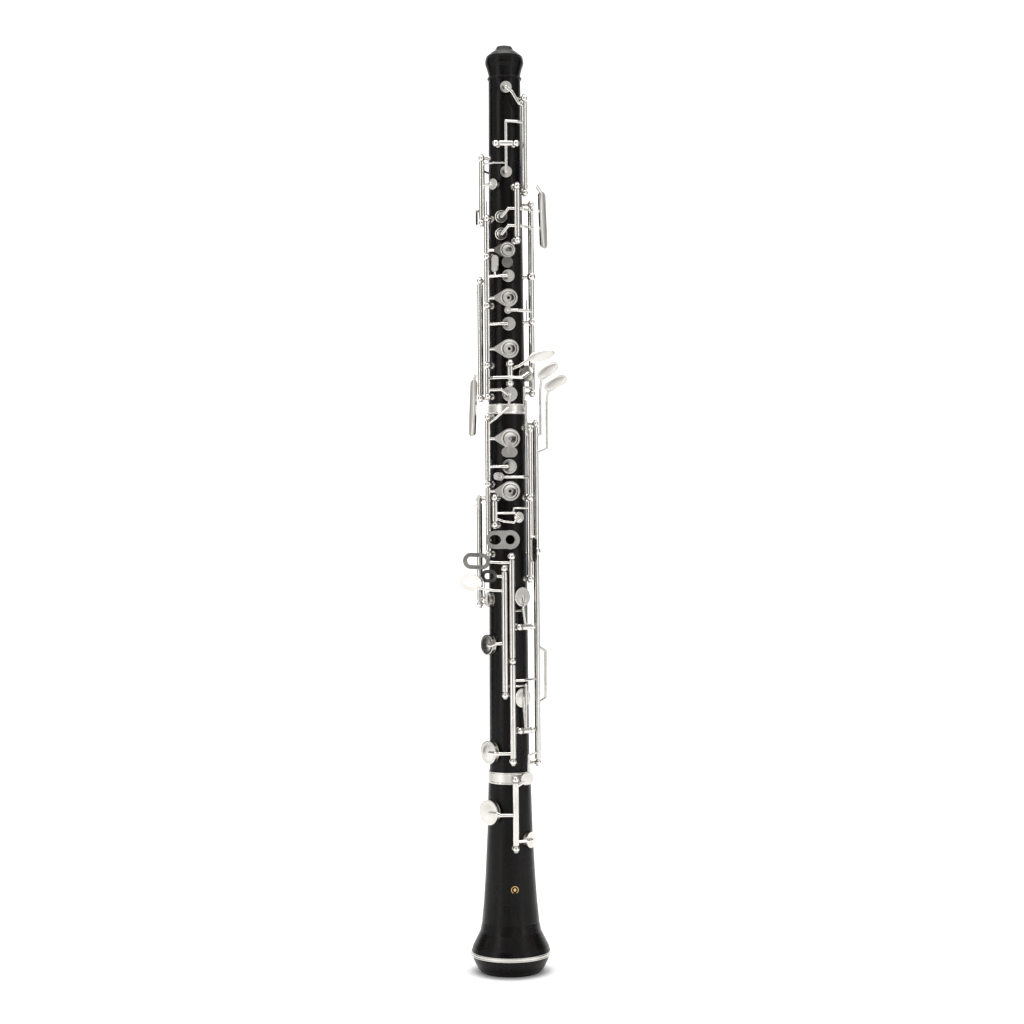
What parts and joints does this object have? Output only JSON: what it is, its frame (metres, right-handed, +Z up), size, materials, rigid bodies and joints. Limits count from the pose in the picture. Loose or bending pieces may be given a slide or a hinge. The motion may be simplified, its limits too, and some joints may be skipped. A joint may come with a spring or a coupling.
{
  "type": "oboe",
  "caption": "Oboe body in three jointed sections with a flared bell and full silver keywork: plates, levers, rockers and pads that turn on rods between posts.",
  "frame": {"origin": "centre of the bell mouth, in the plane of the bell's lower rim", "axes": "+Z up the bore towards the reed well; the finger plates face -Y; +X is to the right seen from the plates' side"},
  "size_m": [0.0697, 0.052, 0.595],
  "materials": {
    "wood": "oiled african blackwood, satin gloss",
    "silver": "silver plating, polished, with a faint warm tarnish in the corners",
    "steel": "ground and blued steel",
    "cork": "natural cork, waxed",
    "pad": "gold-beater skin over felt"
  },
  "bodies": {
    "body": {"top_joint": "wood", "lower_joint": "wood", "bell": "wood", "tenon_corks": "cork", "joint_rings": "silver", "key_posts": "silver", "hinge_rods": "steel", "needle_springs": "steel", "thumb_rest": "silver"},
    "side_octave": {"side_octave_key": "silver", "side_octave_pad": "pad"},
    "octave_rocker": {"octave_rocker": "silver", "octave_rocker_pad": "pad"},
    "thumb_octave": {"thumb_octave_key": "silver"},
    "third_octave": {"third_octave_key": "silver", "third_octave_pad": "pad"},
    "upper_trill": {"upper_trill_key": "silver", "upper_trill_pad": "pad"},
    "lower_trill": {"lower_trill_key": "silver", "lower_trill_pad": "pad"},
    "upper_trill_lever": {"upper_trill_lever": "silver"},
    "lower_trill_lever": {"lower_trill_lever": "silver"},
    "half_hole": {"half_hole_key": "silver", "half_hole_pad": "pad"},
    "b_plate": {"b_plate_key": "silver", "b_plate_pads": "pad"},
    "g_plate": {"g_plate_key": "silver", "g_plate_pads": "pad"},
    "g_sharp_lever": {"g_sharp_lever": "silver"},
    "g_sharp": {"g_sharp_key": "silver", "g_sharp_pad": "pad"},
    "bridge_vent": {"bridge_vent_key": "silver", "bridge_vent_pad": "pad"},
    "a_flat_trill_lever": {"a_flat_trill_lever": "silver"},
    "f_sharp_plate": {"f_sharp_plate_key": "silver", "f_sharp_pads": "pad"},
    "e_plate": {"e_plate_key": "silver", "e_plate_pad": "pad"},
    "d_ring": {"d_ring_key": "silver", "d_ring_pad": "pad"},
    "f_vent": {"f_vent_key": "silver", "f_vent_pad": "pad"},
    "f_lever": {"f_lever": "silver"},
    "side_vent": {"side_vent_key": "silver", "side_vent_pad": "pad"},
    "right_trill_lever": {"right_trill_lever": "silver"},
    "low_b_lever": {"low_b_lever": "silver"},
    "low_b_flat_lever": {"low_b_flat_lever": "silver"},
    "c_sharp_lever": {"c_sharp_key": "silver"},
    "e_flat_lever": {"e_flat_key": "silver"},
    "c": {"c_key": "silver", "c_pad": "pad"},
    "e_flat_rocker": {"e_flat_rocker": "silver", "e_flat_pad": "pad"},
    "c_sharp_rocker": {"c_sharp_rocker": "silver", "c_sharp_pad": "pad"},
    "low_b": {"low_b_key": "silver", "low_b_pad": "pad"},
    "bell_key": {"bell_key": "silver", "bell_pads": "pad"}
  },
  "joints": [
    {"name": "side_octave_hinge", "type": "hinge", "parent": "body", "child": "side_octave", "pos_m": [0.01246, -0.00905, 0.53], "axis": [0, 0, 1], "range_deg": [0, 8], "stiffness_Nm_per_rad": 0.03, "springref_deg": -8},
    {"name": "octave_rocker_hinge", "type": "hinge", "parent": "body", "child": "octave_rocker", "pos_m": [0.00071, -0.01358, 0.5304], "axis": [0.9986, 0.0523, 0], "range_deg": [-6, 0], "stiffness_Nm_per_rad": 0.01, "springref_deg": 8},
    {"name": "thumb_octave_hinge", "type": "hinge", "parent": "body", "child": "thumb_octave", "pos_m": [-0.01503, -0.00547, 0.517], "axis": [0, 0, 1], "range_deg": [-4.4, 0], "stiffness_Nm_per_rad": 0.03, "springref_deg": 8},
    {"name": "third_octave_hinge", "type": "hinge", "parent": "body", "child": "third_octave", "pos_m": [-0.01503, -0.00547, 0.498], "axis": [0, 0, 1], "range_deg": [-8, 0], "stiffness_Nm_per_rad": 0.03, "springref_deg": 8},
    {"name": "upper_trill_hinge", "type": "hinge", "parent": "body", "child": "upper_trill", "pos_m": [0.00751, -0.01413, 0.491], "axis": [0, 0, 1], "range_deg": [0, 6.2], "stiffness_Nm_per_rad": 0.01, "springref_deg": -8},
    {"name": "lower_trill_hinge", "type": "hinge", "parent": "body", "child": "lower_trill", "pos_m": [0.00751, -0.01413, 0.477], "axis": [0, 0, 1], "range_deg": [0, 6.2], "stiffness_Nm_per_rad": 0.01, "springref_deg": -8},
    {"name": "upper_trill_lever_hinge", "type": "hinge", "parent": "body", "child": "upper_trill_lever", "pos_m": [0.01625, -0.00286, 0.43], "axis": [0, 0, 1], "range_deg": [-5.8, 0], "stiffness_Nm_per_rad": 0.01, "springref_deg": 8},
    {"name": "lower_trill_lever_hinge", "type": "hinge", "parent": "body", "child": "lower_trill_lever", "pos_m": [0.01625, -0.00286, 0.45], "axis": [0, 0, 1], "range_deg": [-5, 0], "stiffness_Nm_per_rad": 0.03, "springref_deg": 8},
    {"name": "half_hole_hinge", "type": "hinge", "parent": "body", "child": "half_hole", "pos_m": [-0.01198, -0.0106, 0.471], "axis": [0, 0, 1], "range_deg": [0, 7], "stiffness_Nm_per_rad": 0.03, "springref_deg": -8},
    {"name": "b_plate_hinge", "type": "hinge", "parent": "body", "child": "b_plate", "pos_m": [-0.01198, -0.0106, 0.443], "axis": [0, 0, 1], "range_deg": [0, 7], "stiffness_Nm_per_rad": 0.03, "springref_deg": -8},
    {"name": "g_plate_hinge", "type": "hinge", "parent": "body", "child": "g_plate", "pos_m": [-0.01198, -0.0106, 0.408], "axis": [0, 0, 1], "range_deg": [0, 7], "stiffness_Nm_per_rad": 0.03, "springref_deg": -8},
    {"name": "g_sharp_lever_hinge", "type": "hinge", "parent": "body", "child": "g_sharp_lever", "pos_m": [0.00237, -0.01683, 0.383], "axis": [0, 0, 1], "range_deg": [0, 9], "stiffness_Nm_per_rad": 0.03, "springref_deg": -8},
    {"name": "g_sharp_hinge", "type": "hinge", "parent": "body", "child": "g_sharp", "pos_m": [-0.01198, -0.0106, 0.382], "axis": [0, 0, 1], "range_deg": [-4.2, 0], "stiffness_Nm_per_rad": 0.01, "springref_deg": 8},
    {"name": "bridge_vent_hinge", "type": "hinge", "parent": "body", "child": "bridge_vent", "pos_m": [-0.01198, -0.0106, 0.374], "axis": [0, 0, 1], "range_deg": [0, 7.3], "stiffness_Nm_per_rad": 0.01, "springref_deg": -8},
    {"name": "a_flat_trill_hinge", "type": "hinge", "parent": "body", "child": "a_flat_trill_lever", "pos_m": [-0.01663, -0.00353, 0.4], "axis": [0, 0, 1], "range_deg": [-6, 0], "stiffness_Nm_per_rad": 0.03, "springref_deg": 8},
    {"name": "f_sharp_plate_hinge", "type": "hinge", "parent": "body", "child": "f_sharp_plate", "pos_m": [-0.01219, -0.01156, 0.335], "axis": [0, 0, 1], "range_deg": [0, 7], "stiffness_Nm_per_rad": 0.03, "springref_deg": -8},
    {"name": "e_plate_hinge", "type": "hinge", "parent": "body", "child": "e_plate", "pos_m": [-0.01219, -0.01156, 0.3], "axis": [0, 0, 1], "range_deg": [0, 7], "stiffness_Nm_per_rad": 0.03, "springref_deg": -8},
    {"name": "d_ring_hinge", "type": "hinge", "parent": "body", "child": "d_ring", "pos_m": [-0.01219, -0.01156, 0.278], "axis": [0, 0, 1], "range_deg": [0, 7], "stiffness_Nm_per_rad": 0.03, "springref_deg": -8},
    {"name": "f_vent_hinge", "type": "hinge", "parent": "body", "child": "f_vent", "pos_m": [-0.00807, -0.01474, 0.296], "axis": [0, 0, 1], "range_deg": [-8, 0], "stiffness_Nm_per_rad": 0.01, "springref_deg": 8},
    {"name": "f_lever_hinge", "type": "hinge", "parent": "body", "child": "f_lever", "pos_m": [0.01409, -0.00915, 0.28], "axis": [0, 0, 1], "range_deg": [0, 8], "stiffness_Nm_per_rad": 0.03, "springref_deg": -8},
    {"name": "side_vent_hinge", "type": "hinge", "parent": "body", "child": "side_vent", "pos_m": [-0.01822, 0.00321, 0.27], "axis": [0, 0, 1], "range_deg": [-4.2, 0], "stiffness_Nm_per_rad": 0.01, "springref_deg": 8},
    {"name": "right_trill_hinge", "type": "hinge", "parent": "body", "child": "right_trill_lever", "pos_m": [0.01409, -0.00915, 0.325], "axis": [0, 0, 1], "range_deg": [-10, 0], "stiffness_Nm_per_rad": 0.03, "springref_deg": 8},
    {"name": "low_b_lever_hinge", "type": "hinge", "parent": "body", "child": "low_b_lever", "pos_m": [0.01826, -0.00355, 0.26], "axis": [0, 0, 1], "range_deg": [0, 14.5], "stiffness_Nm_per_rad": 0.03, "springref_deg": -8},
    {"name": "low_b_flat_lever_hinge", "type": "hinge", "parent": "body", "child": "low_b_flat_lever", "pos_m": [0.01826, -0.00355, 0.25], "axis": [0, 0, 1], "range_deg": [0, 8.8], "stiffness_Nm_per_rad": 0.03, "springref_deg": -8},
    {"name": "c_sharp_lever_hinge", "type": "hinge", "parent": "body", "child": "c_sharp_lever", "pos_m": [-0.0023, -0.01745, 0.22], "axis": [0, 0, 1], "range_deg": [-9, 0], "stiffness_Nm_per_rad": 0.03, "springref_deg": 8},
    {"name": "e_flat_lever_hinge", "type": "hinge", "parent": "body", "child": "e_flat_lever", "pos_m": [0.00245, -0.01743, 0.235], "axis": [0, 0, 1], "range_deg": [-8, 0], "stiffness_Nm_per_rad": 0.03, "springref_deg": 8},
    {"name": "c_hinge", "type": "hinge", "parent": "body", "child": "c", "pos_m": [-0.0023, -0.01745, 0.22], "axis": [0, 0, 1], "range_deg": [-8, 0], "stiffness_Nm_per_rad": 0.03, "springref_deg": 8},
    {"name": "e_flat_rocker_hinge", "type": "hinge", "parent": "body", "child": "e_flat_rocker", "pos_m": [0.01096, -0.01155, 0.222], "axis": [0.7254, 0.6884, 0], "range_deg": [0, 6.6], "stiffness_Nm_per_rad": 0.01, "springref_deg": -8},
    {"name": "c_sharp_rocker_hinge", "type": "hinge", "parent": "body", "child": "c_sharp_rocker", "pos_m": [0.01061, -0.0122, 0.156], "axis": [0.7547, 0.6561, 0], "range_deg": [0, 5.2], "stiffness_Nm_per_rad": 0.01, "springref_deg": -8},
    {"name": "low_b_hinge", "type": "hinge", "parent": "body", "child": "low_b", "pos_m": [0.00245, -0.01743, 0.165], "axis": [0, 0, 1], "range_deg": [-8, 0], "stiffness_Nm_per_rad": 0.01, "springref_deg": 8},
    {"name": "bell_hinge", "type": "hinge", "parent": "body", "child": "bell_key", "pos_m": [0.00379, -0.01862, 0.103], "axis": [0, 0, 1], "range_deg": [-9, 0], "stiffness_Nm_per_rad": 0.01, "springref_deg": 8}
  ],
  "couplings": [
    {"joint": "octave_rocker_hinge", "follows": "thumb_octave_hinge", "ratio": 1.35},
    {"joint": "upper_trill_lever_hinge", "follows": "right_trill_hinge", "ratio": 0.55},
    {"joint": "upper_trill_hinge", "follows": "right_trill_hinge", "ratio": -0.58},
    {"joint": "lower_trill_hinge", "follows": "lower_trill_lever_hinge", "ratio": -1.2},
    {"joint": "g_sharp_hinge", "follows": "g_sharp_lever_hinge", "ratio": -0.46},
    {"joint": "bridge_vent_hinge", "follows": "f_sharp_plate_hinge", "ratio": 1.04},
    {"joint": "f_vent_hinge", "follows": "f_lever_hinge", "ratio": -1},
    {"joint": "side_vent_hinge", "follows": "e_plate_hinge", "ratio": -0.6},
    {"joint": "e_flat_rocker_hinge", "follows": "e_flat_lever_hinge", "ratio": -0.82},
    {"joint": "c_sharp_rocker_hinge", "follows": "c_sharp_lever_hinge", "ratio": -0.57},
    {"joint": "low_b_hinge", "follows": "low_b_lever_hinge", "ratio": -0.55},
    {"joint": "bell_hinge", "follows": "low_b_flat_lever_hinge", "ratio": -1.02}
  ]
}
